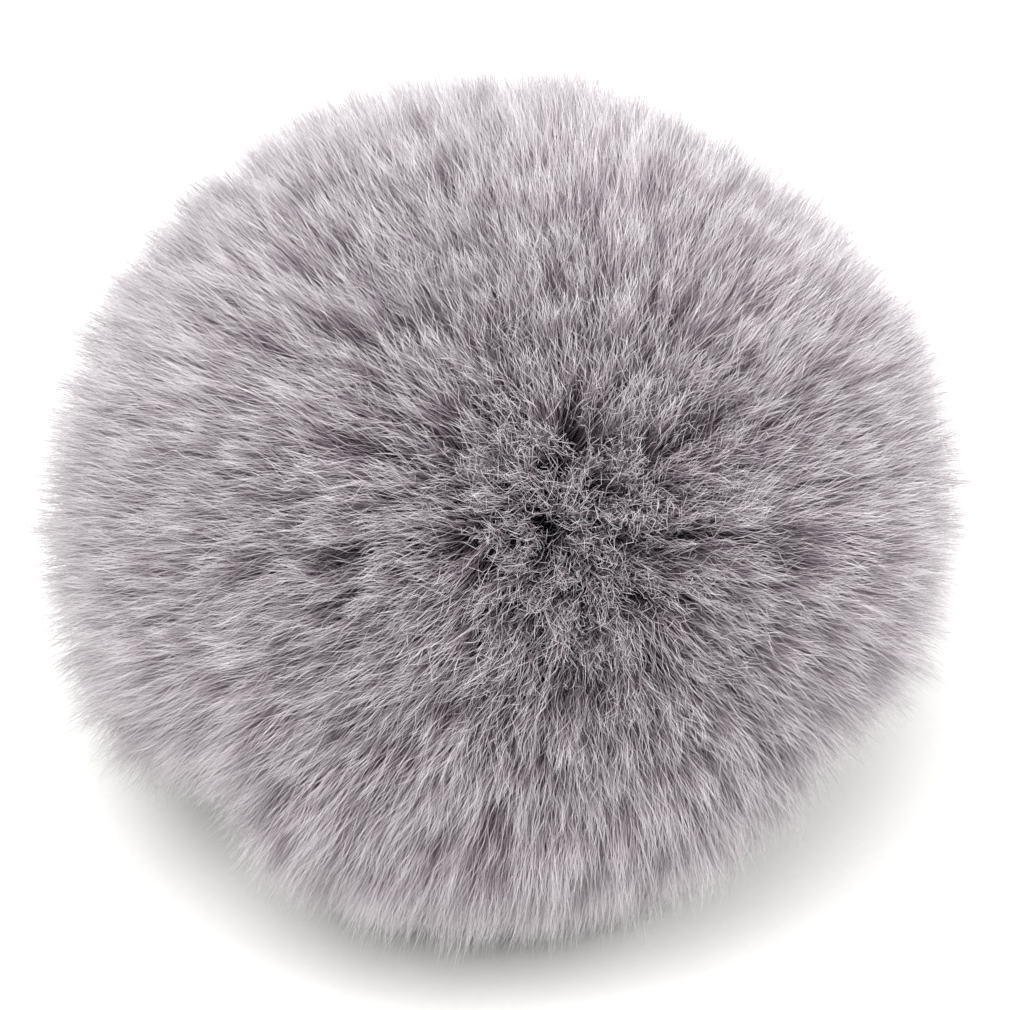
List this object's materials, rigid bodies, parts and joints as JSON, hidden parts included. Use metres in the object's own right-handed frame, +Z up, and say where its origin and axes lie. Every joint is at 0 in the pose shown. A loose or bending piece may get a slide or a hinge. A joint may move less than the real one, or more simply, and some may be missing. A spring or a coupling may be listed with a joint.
{
  "type": "furry microphone windscreen",
  "caption": "Round long-pile fur cover sewn from gores, pulled over a foam core with a blind microphone bore and a rubber end collar, standing on its mouth.",
  "frame": {"origin": "middle of the mouth, on the surface that the windscreen stands on", "axes": "+Z up along the axis of the bore, from the mouth to the crown"},
  "size_m": [0.0964, 0.0958, 0.082],
  "materials": {
    "faux_fur": "long-pile acrylic fur, pale lilac grey with charcoal roots",
    "seam_tape": "woven cotton tape, matte",
    "hem_binding": "folded twill binding, matte",
    "hem_elastic": "braided elastic, matte",
    "foam": "open-cell polyurethane foam, matte",
    "soft_pad": "soft open-cell foam, matte",
    "knit_sleeve": "fine knitted mesh, matte",
    "nylon_ring": "moulded nylon, satin",
    "rubber": "moulded rubber, matte"
  },
  "bodies": {
    "core": {"foam_core": "foam", "tip_pad": "soft_pad", "bore_sleeve": "knit_sleeve", "sleeve_ring": "nylon_ring", "rubber_collar": "rubber"},
    "fur_cover": {"fur_gore_1": "faux_fur", "fur_gore_2": "faux_fur", "fur_gore_3": "faux_fur", "fur_gore_4": "faux_fur", "fur_gore_5": "faux_fur", "fur_gore_6": "faux_fur", "seam_tape_1": "seam_tape", "seam_tape_2": "seam_tape", "seam_tape_3": "seam_tape", "seam_tape_4": "seam_tape", "seam_tape_5": "seam_tape", "seam_tape_6": "seam_tape", "crown_patch": "seam_tape", "hem_binding": "hem_binding", "hem_elastic": "hem_elastic"}
  },
  "joints": [
    {"name": "cover_pull", "type": "slide", "parent": "core", "child": "fur_cover", "axis": [0, 0, 1], "range_m": [0, 0.07]}
  ]
}
